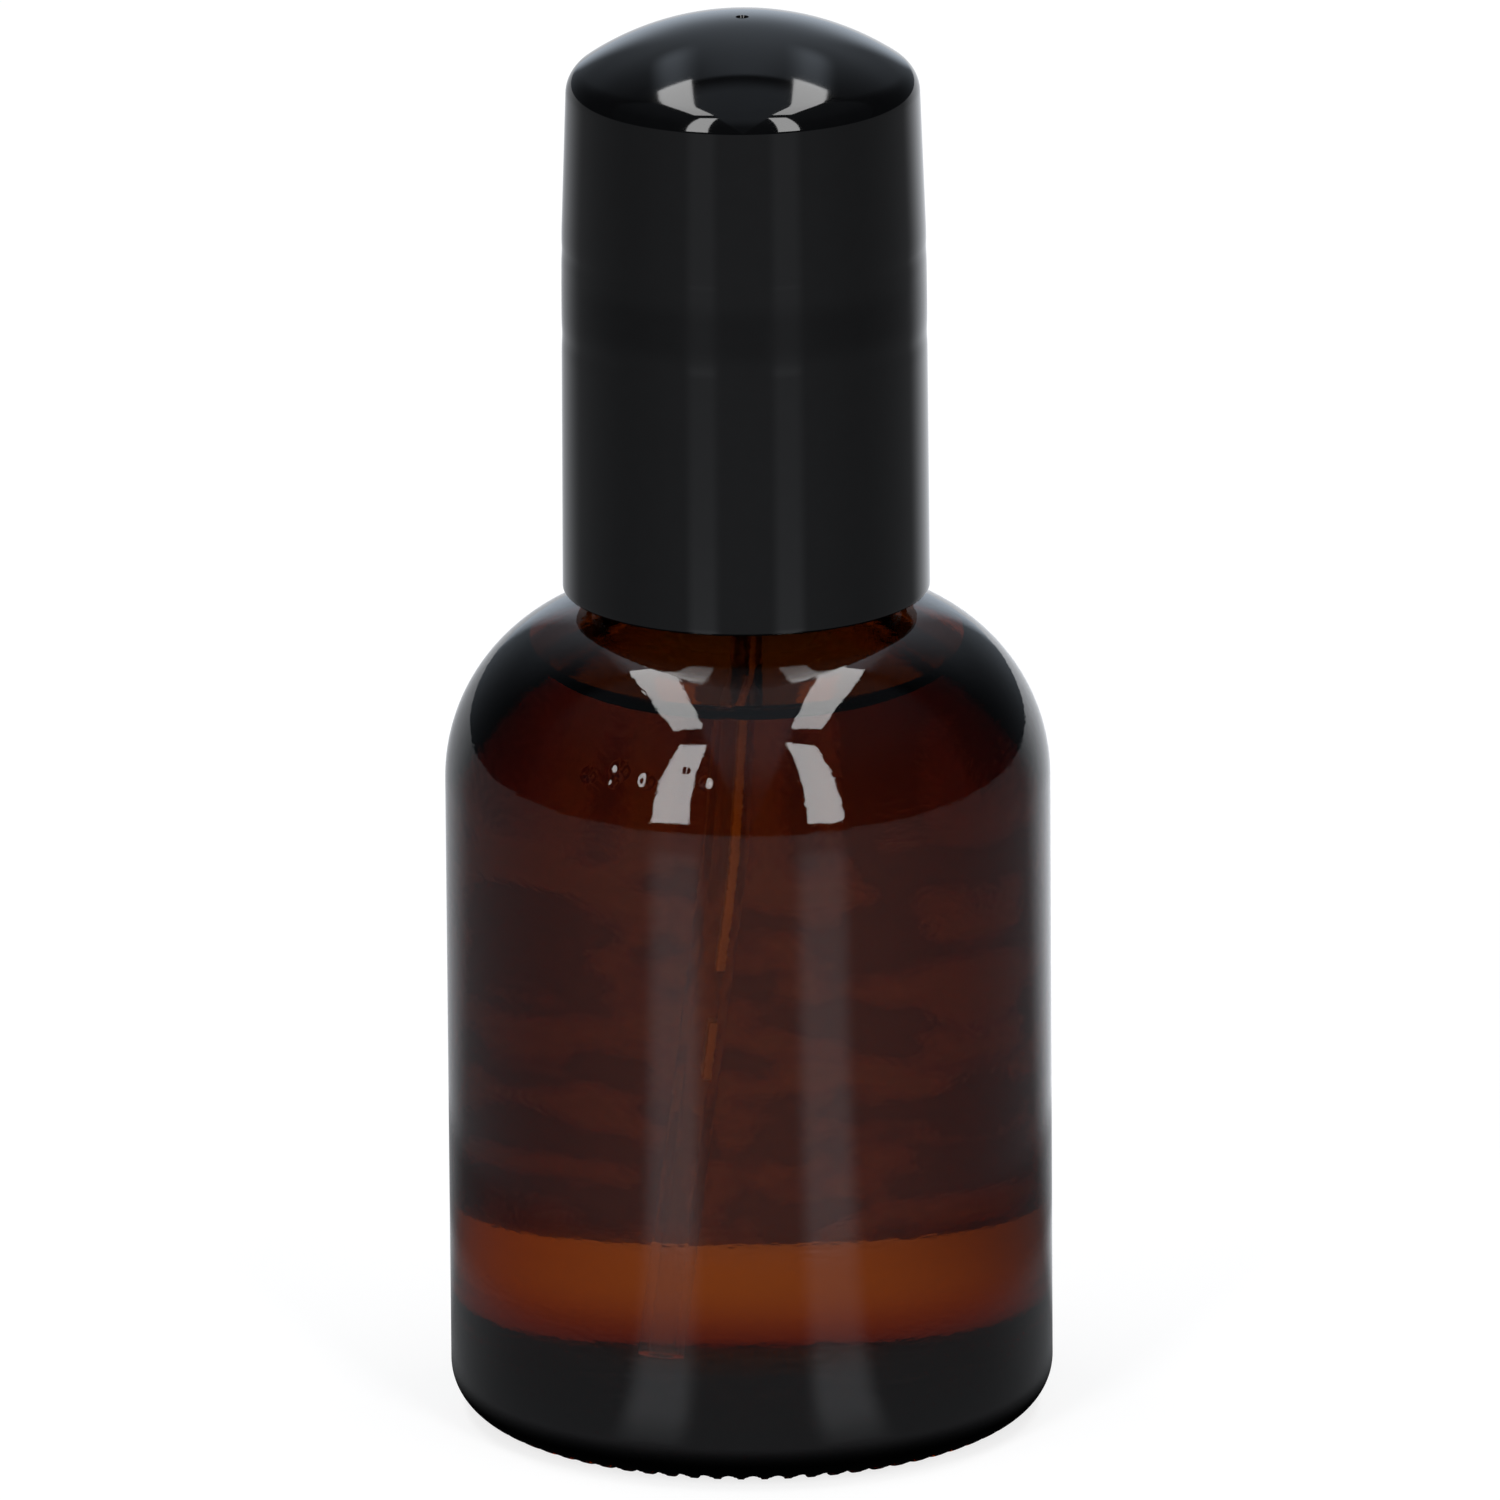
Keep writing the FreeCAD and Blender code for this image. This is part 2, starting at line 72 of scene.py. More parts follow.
# Glass, as in the solid
glass_wall = 2.1 * MM
shoulder_start = 37.9 * MM
shoulder_radius = 10.8 * MM
inner_shoulder_drop = 0.9 * MM
crest_wall = 1.5 * MM
heel_radius = 2.8 * MM
floor_edge = 2.7 * MM
floor_crown = 0.8 * MM
floor_corner_radius = 3.0 * MM
push_up = 1.2 * MM
bearing_width = 2.4 * MM
knurl_count = 72
knurl_depth = 0.6 * MM
knurl_groove_radius = 0.45 * MM
knurl_length = 1.3 * MM
throat_radius = 1.0 * MM
neck_radius = 7.8 * MM
bore_radius = 5.1 * MM
lip_rounding = 0.4 * MM
thread_pitch = 3.175 * MM
thread_depth = 1.0 * MM
thread_root_half = 1.05 * MM
thread_crest_half = 0.5 * MM
thread_turns = 1.5
thread_below_lip = 1.9 * MM

# Oil
meniscus = 1.4 * MM
wetting_overlap = 0.02 * MM   # the oil's skin lies this far inside the glass, so no air is left between

# Skin of the glass: how high its slow waves and fine ripples stand, in millimetres
glass_wave_height = 0.03
glass_ripple_height = 0.006

# Blisters in the skin of the shoulder: how far to the right, how high, how wide, and how deep
blisters = (
    (-3.5 * MM, 42.9 * MM, 0.55 * MM, 0.05 * MM),
    (-2.4 * MM, 42.3 * MM, 0.95 * MM, 0.05 * MM),
    (-5.8 * MM, 42.2 * MM, 1.20 * MM, 0.08 * MM),
    (-7.3 * MM, 42.6 * MM, 1.50 * MM, 0.10 * MM),
    (-7.7 * MM, 41.9 * MM, 0.80 * MM, 0.06 * MM),
    (-9.1 * MM, 42.1 * MM, 1.20 * MM, 0.09 * MM),
)

# Clear materials: how far they bend light, and what they take up of red, green and blue per millimetre
glass_ior = 1.52
glass_absorption = (0.38, 0.75, 1.40)
oil_ior = 1.47
oil_absorption = (0.002, 0.006, 0.03)
tube_ior = 1.49

# Label
label_film = 0.02 * MM        # paste between the glass and the label
label_depth = 0.9 * MM        # how deep light spreads in the paper and its paste
label_columns = 96
label_rows = 40

# Dip tube
tube_radius = (tube_high.y - tube_low.y) / 2
tube_bore_radius = 0.5 * MM
tube_lean = math.radians(5.0)
tube_bend_radius = 20.0 * MM
tube_bend_steps = 8
tube_straight_length = 0.4 * MM
tube_clearness = 0.95

# Painted highlight along the tube, a whiter line that stands in for light caught on it: how far right of its
# middle, half its width at the core and with its soft edge, the heights between which it is broken, its
# lower end, and how softly it ends
painted_highlight_offset = 0.36 * MM
painted_highlight_core = 0.12 * MM
painted_highlight_edge = 0.22 * MM
painted_highlight_gap = (24.8 * MM, 27.9 * MM)
painted_highlight_end = 21.4 * MM
painted_highlight_fade = 0.2 * MM

# Return spring
spring_wire_radius = 0.25 * MM
spring_turns = 6

# Overcap
overcap_wall = 0.9 * MM
overcap_crown_wall = 1.2 * MM
overcap_draft = 0.1 * MM
overcap_taper = 0.35 * MM
overcap_taper_length = 9.6 * MM
overcap_dome_radius = 16.4 * MM
overcap_edge_rounding = 1.9 * MM
overcap_rim_rounding = 0.2 * MM
overcap_inner_radius = 9.7 * MM
stop_band_thickness = 0.7 * MM
stop_band_height = 5.1 * MM
stop_band_gap = 0.03 * MM
gate_mark_radius = 0.38 * MM
gate_mark_floor = 0.8         # its floor's radius, as a share of its rim's
gate_mark_depth = 0.15 * MM
sink_depth = 0.03 * MM        # of the faint hollows over the edges of the stop band
sink_width = 0.55 * MM

# Black plastic: gloss of the overcap and of the pump, and the duller zone over the stop band
polished_roughness = 0.045
satin_roughness = 0.16
plain_specular = 0.5
dull_specular = 0.38
dull_roughness = 0.09         # added in the duller zone
dull_fade = 2.3 * MM

# Radii and heights that follow
inner_radius = body_radius - glass_wall
shoulder_centre = body_radius - shoulder_radius
neck_root = shoulder_start + math.sqrt(shoulder_radius**2 - (neck_radius - shoulder_centre) ** 2)
throat_edge = bore_radius + throat_radius
inner_crest = neck_root - crest_wall
inner_shoulder_start = shoulder_start - inner_shoulder_drop
inner_shoulder_reach = inner_radius - throat_edge
inner_shoulder_rise = inner_crest - inner_shoulder_start
inner_shoulder_radius = (inner_shoulder_reach**2 + inner_shoulder_rise**2) / (2 * inner_shoulder_reach)
inner_shoulder_centre = inner_radius - inner_shoulder_radius
bearing_radius = body_radius - heel_radius
thread_bottom = lip - thread_below_lip - thread_turns * thread_pitch
oil_contact = oil_high.z
oil_level = oil_contact - meniscus
overcap_waist_radius = overcap_rim_radius - overcap_draft
overcap_top_radius = overcap_waist_radius - overcap_taper
overcap_dome_centre = overcap_apex - overcap_dome_radius
overcap_edge = overcap_dome_centre + math.sqrt(overcap_dome_radius**2 - overcap_top_radius**2)
overcap_waist = overcap_edge - overcap_taper_length
band_bottom = collar_top + stop_band_gap
band_top = band_bottom + stop_band_height

# A corner sharper than this is shaded as a corner, and a blunter one as part of a smooth curve
crisp_corner = math.radians(50)

# How finely round pieces are divided
bottle_segments = knurl_count * 8
spun_segments = 256
tube_segments = 40
wire_segments = 12
wire_steps_per_turn = 32

# Camera, as fitted to the photograph's outline
camera_elevation = math.radians(16.5)
camera_distance = 1.5
camera_roll = math.radians(-0.42)
camera_target = Vector((0.14 * MM, 0, 39.4 * MM))
frame_width = 86.7 * MM
sensor_width = 36.0

# Lamps: an upright strip in front and a long one overhead, on the right, and the same on the left
bottle_middle = Vector((0, 0, 0.045))
front_strip_centre = Vector((1.16, -2.0, 1.68))
front_strip_width = 0.66
front_strip_height = 2.88
front_strip_radiance = 7.0
top_strip_centre = Vector((0.714, 0.06, 2.045))
top_strip_width = 0.392
top_strip_length = 1.78
top_strip_radiance = 6.0

# Studio that the bottle mirrors, lit by direction. A ramp says where it starts and ends, and what it
# gives there. Bearings run from -1 in front to 1 behind, heights from 0 to 1 overhead, and slants are
# sideways or backward reach per height
wall_focus = 6.0
wall_by_height = (0.30, 0.55, 0.20, 0.34)
wall_by_side = (-0.5, 0.5, 0.92, 1.2)
glow_by_bearing = (0.95, 0.985, 0.0, 0.65)
glow_by_height = (0.10, 0.55, 1.0, 0.0)
lamp_inner_slant = (0.20, 0.36, 0.0, 0.5)
lamp_outer_slant = (0.38, 0.52, 1.0, 0.0)
lamp_far_slant = (0.9, 1.3, 1.0, 0.0)
rear_slant = (0.43, 0.48, 0.0, 1.0)
overhead_by_height = (0.35, 0.85, 0.04, 0.24)
overhead_side_slant = (0.24, 0.30, 1.0, 0.2)
overhead_far_slant = (0.25, 0.42, 1.0, 0.0)
studio_dimmest = 0.02
studio_tint = (0.87, 0.98, 1.12)

# Floor as the camera sees it: an even white, and a little that the lamps light and the bottle shades
floor_half = 3.0
floor_drop = 0.02 * MM        # keeps it clear of the base ring
floor_white = 0.78
floor_shading = 0.30

# Floor as the bottle mirrors it, by bearing and by distance from the bottle's axis, in ramps as above
floor_front = (-1.0, -0.1, 0.25, 0.17)
floor_rear = (0.55, 0.95, 0.0, 0.75)
floor_rear_by_side = (-0.45, 0.1, 0.45, 1.0)
pool_inner_bearing = (-0.97, -0.93, 0.0, 1.0)
pool_outer_bearing = (-0.86, -0.78, 1.0, 0.0)
pool_by_distance = (0.07, 0.25, 0.5, 0.13)
pool_start = (22.0 * MM, 32.0 * MM, 0.0, 1.0)
dark_ring_start = (38.0 * MM, 46.0 * MM, 0.0, 0.45)
dark_ring_end = (58.0 * MM, 68.0 * MM, 1.0, 0.0)
contact_shade = (17.0 * MM, 23.0 * MM, 0.01, 1.0)
floor_tint = (0.96, 0.99, 1.04)

# How often light is followed through clear pieces and off shiny ones
clear_bounces = 24
glossy_bounces = 8

# Least divisor
TINY = 0.001


# Meshes


class Outline:
    """An outline in the plane of radius and height, sampled finely enough to spin smooth."""

    def __init__(self, radius, height):
        self.points = [(radius, height)]

    def line(self, radius, height, steps=1):
        """A straight run to the given radius and height."""
        start = self.points[-1]
        for step in range(1, steps + 1):
            share = step / steps
            self.points.append(
                (start[0] + (radius - start[0]) * share, start[1] + (height - start[1]) * share)
            )
        return self

    def arc(self, centre, radius, height, steps):
        """An arc about centre, the shorter way round, to the given radius and height."""
        start = self.points[-1]
        first = math.atan2(start[1] - centre[1], start[0] - centre[0])
        last = math.atan2(height - centre[1], radius - centre[0])
        sweep = (last - first + math.pi) % (2 * math.pi) - math.pi
        size = math.hypot(start[0] - centre[0], start[1] - centre[1])
        for step in range(1, steps):
            angle = first + sweep * step / steps
            self.points.append((centre[0] + size * math.cos(angle), centre[1] + size * math.sin(angle)))
        self.points.append((radius, height))
        return self


def mesh_piece(name, points, faces, material, smooth=True):
    """A new object of that mesh, linked to the scene."""
    mesh = bpy.data.meshes.new(name)
    mesh.from_pydata([tuple(p) for p in points], [], faces)
    mesh.polygons.foreach_set("use_smooth", [smooth] * len(mesh.polygons))
    mesh.materials.append(material)
    mesh.update()
    piece = bpy.data.objects.new(name, mesh)
    bpy.context.scene.collection.objects.link(piece)
    return piece


def spun_skin(outline, segments, shape=None):
    """Points and faces of an outline spun about Z. shape, if given, moves a point of that radius,
    height and angle."""
    points, faces, rings = [], [], []
    for radius, height in outline.points:
        if radius < 1e-9:
            rings.append([len(points)] * segments)
            points.append((0, 0, height))
            continue
        ring = []
        for step in range(segments):
            angle = 2 * math.pi * step / segments
            r, z = shape(radius, height, angle) if shape else (radius, height)
            ring.append(len(points))
            points.append((r * math.cos(angle), r * math.sin(angle), z))
        rings.append(ring)
    for lower, upper in zip(rings, rings[1:]):
        for step in range(segments):
            after = (step + 1) % segments
            corners = [lower[step], lower[after], upper[after], upper[step]]
            faces.append(list(dict.fromkeys(corners)))
    return points, faces


def weld(piece):
    """Joins the rings that two skins share."""
    work = bmesh.new()
    work.from_mesh(piece.data)
    bmesh.ops.remove_doubles(work, verts=work.verts, dist=1e-8)
    work.to_mesh(piece.data)
    work.free()


def face_outwards(piece):
    """Turns every face of a closed skin outwards, and keeps its corners crisp."""
    work = bmesh.new()
    work.from_mesh(piece.data)
    bmesh.ops.recalc_face_normals(work, faces=work.faces)
    work.to_mesh(piece.data)
    work.free()
    piece.data.set_sharp_from_angle(angle=crisp_corner)


def mark_wetted(piece, is_wetted):
    """Marks the faces that oil touches."""
    marks = piece.data.attributes.new("wetted", "FLOAT", "FACE")
    marks.data.foreach_set("value", [float(is_wetted(polygon)) for polygon in piece.data.polygons])


# Materials


class Nodes:
    """Short forms for making the nodes of one tree."""

    def __init__(self, tree):
        self.tree = tree

    def add(self, kind, **settings):
        """A node, with settings that are its own properties or else its inputs."""
        node = self.tree.nodes.new(kind)
        for key, value in settings.items():
            if hasattr(node, key):
                setattr(node, key, value)
            else:
                node.inputs[key.replace("_", " ").title()].default_value = value
        return node

    def link(self, source, target):
        self.tree.links.new(source, target)

    def place(self, space="Object"):
        """Where a point lies, in the piece's own space unless another is named."""
        return self.add("ShaderNodeTexCoord").outputs[space]

    def split(self, vector):
        """The three numbers of a vector."""
        node = self.add("ShaderNodeSeparateXYZ")
        self.link(vector, node.inputs[0])
        return node.outputs

    def do(self, operation, *values):
        """One step of arithmetic on sockets and plain numbers."""
        node = self.add("ShaderNodeMath", operation=operation)
        for socket, value in zip(node.inputs, values):
            if isinstance(value, (int, float)):
                socket.default_value = value
            else:
                self.link(value, socket)
        return node.outputs[0]

    def total(self, first, *others):
        for other in others:
            first = self.do("ADD", first, other)
        return first

    def product(self, first, *others):
        for other in others:
            first = self.do("MULTIPLY", first, other)
        return first

    def remap(self, value, low, high, to_low, to_high, curve="LINEAR"):
        """Follows value from to_low at low to to_high at high, and stays there beyond."""
        node = self.add("ShaderNodeMapRange", interpolation_type=curve)
        numbers = {"From Min": low, "From Max": high, "To Min": to_low, "To Max": to_high}
        for socket, number in numbers.items():
            node.inputs[socket].default_value = number
        self.link(value, node.inputs["Value"])
        return node.outputs["Result"]

    def ramp(self, value, low, high, to_low, to_high):
        """As remap, easing in and out."""
        return self.remap(value, low, high, to_low, to_high, "SMOOTHSTEP")

    def noise(self, scale, detail, stretch=(1, 1, 1)):
        """Noise in the piece's own space, with features about 1 / scale metres across."""
        mapping = self.add("ShaderNodeMapping")
        mapping.inputs["Scale"].default_value = stretch
        texture = self.add("ShaderNodeTexNoise", scale=scale, detail=detail)
        self.link(self.place(), mapping.inputs["Vector"])
        self.link(mapping.outputs["Vector"], texture.inputs["Vector"])
        return texture.outputs["Fac"]

    def blend(self, share, first, second):
        """A colour between two."""
        node = self.add("ShaderNodeMix", data_type="RGBA")
        colour_inputs = [socket for socket in node.inputs if socket.type == "RGBA"]
        colour_inputs[0].default_value = (*first, 1)
        colour_inputs[1].default_value = (*second, 1)
        self.link(share, node.inputs["Factor"])
        return [socket for socket in node.outputs if socket.type == "RGBA"][0]


def new_material(name):
    """A material, the short forms for its nodes, and its shader."""
    material = bpy.data.materials.new(name)
    material.use_nodes = True
    return material, Nodes(material.node_tree), material.node_tree.nodes["Principled BSDF"]


def bump(nodes, shader, height, depth):
    """Raises the surface by depth where height is 1."""
    node = nodes.add("ShaderNodeBump", strength=1.0, distance=depth)
    nodes.link(height, node.inputs["Height"])
    nodes.link(node.outputs["Normal"], shader.inputs["Normal"])


def absorb(nodes, per_mm):
    """Clear tinted volume that takes up light at the given rates, for red, green and blue."""
    strongest = max(per_mm)
    volume = nodes.add("ShaderNodeVolumeAbsorption")
    volume.inputs["Color"].default_value = (*[1 - rate / strongest for rate in per_mm], 1)
    volume.inputs["Density"].default_value = strongest / MM
    nodes.link(volume.outputs["Volume"], nodes.tree.nodes["Material Output"].inputs["Volume"])


def bend_light(nodes, shader, ior, wetted_ior):
    """Makes a shader clear. It bends light by ior, and by wetted_ior on the faces marked as wetted."""
    shader.inputs["Base Color"].default_value = (1, 1, 1, 1)
    shader.inputs["Roughness"].default_value = 0.0
    shader.inputs["IOR"].default_value = ior
    shader.inputs["Transmission Weight"].default_value = 1.0
    wetted = nodes.add("ShaderNodeAttribute", attribute_name="wetted").outputs["Fac"]
    nodes.link(nodes.remap(wetted, 0, 1, ior, wetted_ior), shader.inputs["IOR"])


def let_through(shader, depth):
    """Lets light spread through the stuff, about as deep as given."""
    shader.inputs["Subsurface Weight"].default_value = 1.0
    shader.inputs["Subsurface Radius"].default_value = (1, 1, 1)
    shader.inputs["Subsurface Scale"].default_value = depth


def blister_height(nodes):
    """How far the shoulder's skin sinks at its blisters, in millimetres."""
    place = nodes.place()
    dips = []
    for across, height, width, depth in blisters:
        away = shoulder_centre + math.sqrt(shoulder_radius**2 - (height - shoulder_start) ** 2)
        distance = nodes.add("ShaderNodeVectorMath", operation="DISTANCE")
        distance.inputs[1].default_value = (across, -math.sqrt(away**2 - across**2), height)
        nodes.link(place, distance.inputs[0])
        dips.append(nodes.ramp(distance.outputs["Value"], 0.0, width / 2, -depth / MM, 0.0))
    return nodes.total(*dips)


def amber_glass():
    """Glass. Where oil touches it, it bends light only as glass against oil does."""
    material, nodes, shader = new_material("amber_glass")
    bend_light(nodes, shader, glass_ior, glass_ior / oil_ior)
    absorb(nodes, glass_absorption)
    waves = nodes.product(nodes.noise(110, 1.0, (1, 1, 0.5)), glass_wave_height)
    ripples = nodes.product(nodes.noise(1800, 3.0, (0.7, 0.7, 1.6)), glass_ripple_height)
    bump(nodes, shader, nodes.total(waves, ripples, blister_height(nodes)), MM)
    return material


def clear_oil():
    """Oil. Its skin against the glass bends nothing, because the wetted glass does that."""
    material, nodes, shader = new_material("oil")
    bend_light(nodes, shader, oil_ior, 1.0)
    absorb(nodes, oil_absorption)
    return material


def black_plastic(name, roughness, dull_zone=None):
    """Moulded plastic. Between the two heights of a dull zone, where a thick wall shrank as it cooled,
    it shines less."""
    material, nodes, shader = new_material(name)
    shader.inputs["IOR"].default_value = 1.5
    shader.inputs["Specular IOR Level"].default_value = plain_specular
    tint = nodes.blend(nodes.noise(900, 3.0), (0.0016, 0.0016, 0.0018), (0.0030, 0.0030, 0.0033))
    nodes.link(tint, shader.inputs["Base Color"])
    rub = nodes.noise(260, 4.0, (1, 1, 0.25))
    gloss = nodes.remap(rub, 0.35, 0.75, roughness, roughness * 2.2)
    if dull_zone:
        low, high = dull_zone
        z = nodes.split(nodes.place())["Z"]
        above = nodes.ramp(z, low, low + dull_fade, 0.0, 1.0)
        below = nodes.ramp(z, high - dull_fade, high, 1.0, 0.0)
        dull = nodes.product(above, below)
        gloss = nodes.do("MULTIPLY_ADD", dull, dull_roughness, gloss)
        specular = nodes.ramp(dull, 0.0, 1.0, plain_specular, dull_specular)
        nodes.link(specular, shader.inputs["Specular IOR Level"])
    nodes.link(gloss, shader.inputs["Roughness"])
    bump(nodes, shader, nodes.noise(240, 2.0), 0.004 * MM)
    return material


def label_front():
    """Bare uncoated paper, off-white, with its fibres."""
    material, nodes, shader = new_material("label_front")
    fibre = nodes.noise(2600, 4.0, (1, 1, 0.4))
    tint = nodes.blend(nodes.remap(fibre, 0.3, 0.7, 0, 1), (0.74, 0.70, 0.62), (0.86, 0.83, 0.76))
    nodes.link(tint, shader.inputs["Base Color"])
    nodes.link(nodes.remap(fibre, 0.3, 0.7, 0.5, 0.68), shader.inputs["Roughness"])
    let_through(shader, label_depth)
    bump(nodes, shader, fibre, 0.01 * MM)
    return material


def label_paste():
    """The pasted side of the label, seen through the glass, with its smeared reddish paste."""
    material, nodes, shader = new_material("label_paste")
    smears = nodes.noise(200, 1.5, (3.4, 3.4, 1.8))
    tint = nodes.blend(nodes.remap(smears, 0.45, 0.63, 0, 1), (0.30, 0.08, 0.05), (1.0, 0.44, 0.24))
    nodes.link(tint, shader.inputs["Base Color"])
    shader.inputs["Roughness"].default_value = 0.9
    shader.inputs["IOR"].default_value = 1.05
    let_through(shader, label_depth)
    return material


def white_plastic():
    """Natural plastic of the pump, slightly cloudy."""
    material, nodes, shader = new_material("white_plastic")
    cloud = nodes.noise(500, 2.0)
    nodes.link(nodes.blend(cloud, (0.74, 0.74, 0.72), (0.84, 0.84, 0.82)), shader.inputs["Base Color"])
    nodes.link(nodes.remap(cloud, 0.3, 0.7, 0.3, 0.42), shader.inputs["Roughness"])
    let_through(shader, 0.3 * MM)
    return material


def painted_highlight_share(nodes):
    """1 on the tube's broken painted highlight, a whiter line that follows its straight lower run, and 0 off
    it.
    """
    x, _, z = nodes.split(nodes.place())
    end = tube_path()[-1]
    middle = nodes.do("MULTIPLY_ADD", z, math.tan(tube_lean), end.x - math.tan(tube_lean) * end.z)
    offset = nodes.do("SUBTRACT", nodes.do("SUBTRACT", x, middle), painted_highlight_offset)
    line = nodes.ramp(nodes.do("ABSOLUTE", offset), painted_highlight_core, painted_highlight_edge, 1.0, 0.0)
    below_gap = nodes.ramp(z, painted_highlight_gap[0], painted_highlight_gap[0] + painted_highlight_fade, 1.0, 0.0)
    above_gap = nodes.ramp(z, painted_highlight_gap[1], painted_highlight_gap[1] + painted_highlight_fade, 0.0, 1.0)
    above_end = nodes.ramp(z, painted_highlight_end, painted_highlight_end + painted_highlight_fade, 0.0, 1.0)
    return nodes.product(line, nodes.total(below_gap, above_gap), above_end)


def tube_plastic():
    """Clear plastic with a slight haze, and a painted highlight down its right side: a broken line where it
    turns white.
    """
    material, nodes, shader = new_material("clear_tube")
    bend_light(nodes, shader, tube_ior, tube_ior / oil_ior)
    haze = nodes.noise(700, 2.0, (1, 1, 0.1))
    nodes.link(nodes.remap(haze, 0.3, 0.7, 0.03, 0.08), shader.inputs["Roughness"])
    # Along the painted highlight the tube stops letting light through and shows white
    clear = nodes.ramp(painted_highlight_share(nodes), 0.0, 1.0, tube_clearness, 0.0)
    nodes.link(clear, shader.inputs["Transmission Weight"])
    return material


def seal_rubber():
    """Pale rubber with a fine grain."""
    material, nodes, shader = new_material("seal_rubber")
    tint = nodes.blend(nodes.noise(3000, 3.0), (0.60, 0.60, 0.58), (0.72, 0.72, 0.70))
    nodes.link(tint, shader.inputs["Base Color"])
    shader.inputs["Roughness"].default_value = 0.7
    return material


def bright_steel():
    """Drawn stainless steel."""
    material, nodes, shader = new_material("steel")
    shader.inputs["Metallic"].default_value = 1.0
    drawn = nodes.noise(4000, 2.0, (1, 1, 0.2))
    nodes.link(nodes.blend(drawn, (0.60, 0.60, 0.62), (0.72, 0.72, 0.74)), shader.inputs["Base Color"])
    nodes.link(nodes.remap(drawn, 0.3, 0.7, 0.16, 0.28), shader.inputs["Roughness"])
    return material


# Bottle and oil


def thread_radius(radius, height, angle):
    """The neck's surface with its screw ridge, which starts on the +X side and climbs."""
    for turn in range(math.ceil(thread_turns) + 1):
        turned = angle / (2 * math.pi) + turn
        if turned > thread_turns:
            break
        away = abs(height - thread_bottom - thread_pitch * turned)
        share = (thread_root_half - away) / (thread_root_half - thread_crest_half)
        radius = max(radius, neck_radius + thread_depth * min(share, 1))
    return radius


def knurl_height(radius, height, angle):
    """The base ring's surface with its radial grooves."""
    pitch = 2 * math.pi / knurl_count
    aside = abs(radius * math.sin((angle + pitch / 2) % pitch - pitch / 2))
    if aside >= knurl_groove_radius:
        return height
    groove = knurl_depth - knurl_groove_radius + math.sqrt(knurl_groove_radius**2 - aside**2)
    return max(height, groove)


def glass_shape(radius, height, angle):
    """Puts the thread on the neck and the knurl on the base ring."""
    on_neck = abs(radius - neck_radius) < 1e-7 and height > neck_root
    on_ring = radius > bearing_radius - knurl_length and height < knurl_depth
    if on_neck:
        radius = thread_radius(radius, height, angle)
    if on_ring:
        height = knurl_height(radius, height, angle)
    return radius, height


def inner_shoulder_at(height, spread=0):
    """The radius of the inner shoulder at a height, pushed out into the glass by the given spread."""
    size = inner_shoulder_radius + spread
    return inner_shoulder_centre + math.sqrt(size**2 - (height - inner_shoulder_start) ** 2)


def cavity(outline, spread):
    """Runs an outline down the inside of the glass, from where the oil meets it to the floor's middle,
    pushed out into the glass by the given spread."""
    corner = (inner_radius - floor_corner_radius, floor_edge + floor_corner_radius)
    floor_radius = (corner[0] ** 2 + floor_crown**2) / (2 * floor_crown)
    floor_middle = floor_edge + floor_crown - spread
    wall = inner_radius + spread
    outline.arc((inner_shoulder_centre, inner_shoulder_start), wall, inner_shoulder_start, 48)
    outline.line(wall, corner[1], 10)
    outline.arc(corner, corner[0], floor_edge - spread, 16)
    outline.arc((0, floor_middle - floor_radius), 0, floor_middle, 16)
    return outline


def bottle_outside():
    """The outside of the glass, from the middle of the base to the lip."""
    hollow_radius = bearing_radius - bearing_width
    push_up_radius = (hollow_radius**2 + push_up**2) / (2 * push_up)
    lip_centre = neck_radius - lip_rounding
    outline = Outline(0, push_up)
    outline.arc((0, push_up - push_up_radius), hollow_radius, 0, 14)
    outline.line(bearing_radius - knurl_length, 0, 3)
    outline.line(bearing_radius, 0, 8)
    outline.arc((bearing_radius, heel_radius), body_radius, heel_radius, 30)
    outline.line(body_radius, shoulder_start, 12)
    outline.arc((shoulder_centre, shoulder_start), neck_radius, neck_root, 48)
    outline.line(neck_radius, lip - lip_rounding, 70)
    outline.arc((lip_centre, lip - lip_rounding), lip_centre, lip, 6)
    return outline


def build_bottle(material):
    """The glass as one closed skin, with its inner wall, thread and knurl."""
    bore_edge = bore_radius + lip_rounding
    throat_height = inner_crest + throat_radius
    outline = bottle_outside()
    outline.line(bore_edge, lip, 2)
    outline.arc((bore_edge, lip - lip_rounding), bore_radius, lip - lip_rounding, 6)
    outline.line(bore_radius, throat_height, 8)
    outline.arc((throat_edge, throat_height), throat_edge, inner_crest, 8)
    shoulder = (inner_shoulder_centre, inner_shoulder_start)
    outline.arc(shoulder, inner_shoulder_at(oil_contact), oil_contact, 24)
    wet_from = len(outline.points) - 1
    cavity(outline, 0)
    points, faces = spun_skin(outline, bottle_segments, glass_shape)
    piece = mesh_piece("glass_bottle", points, faces, material)
    mark_wetted(piece, lambda polygon: polygon.index >= wet_from * bottle_segments)
    face_outwards(piece)
    return piece


def build_oil(material):
    """The oil, with the meniscus that climbs the glass."""
    edge = inner_shoulder_at(oil_contact, wetting_overlap)
    foot = edge - meniscus
    outline = Outline(0, oil_level)
    outline.line(foot, oil_level, 10)
    outline.arc((foot, oil_contact), edge, oil_contact, 16)
    wet_from = len(outline.points) - 1
    cavity(outline, wetting_overlap)
    points, faces = spun_skin(outline, spun_segments)
    piece = mesh_piece("oil_fill", points, faces, material)
    mark_wetted(piece, lambda polygon: polygon.index >= wet_from * spun_segments)
    face_outwards(piece)
    return piece


# Label


def label_points(radius):
    """One face of the label, row by row from below, bent round the back of the body."""
    half = math.asin(min(1, label_high.x / label_high.y))
    if label_low.y < 0:
        half = math.pi - half
    points = []
    for row in range(label_rows + 1):
        height = label_low.z + (label_high.z - label_low.z) * row / label_rows
        for column in range(label_columns + 1):
            angle = math.pi / 2 - half + 2 * half * column / label_columns
            points.append((radius * math.cos(angle), radius * math.sin(angle), height))
    return points


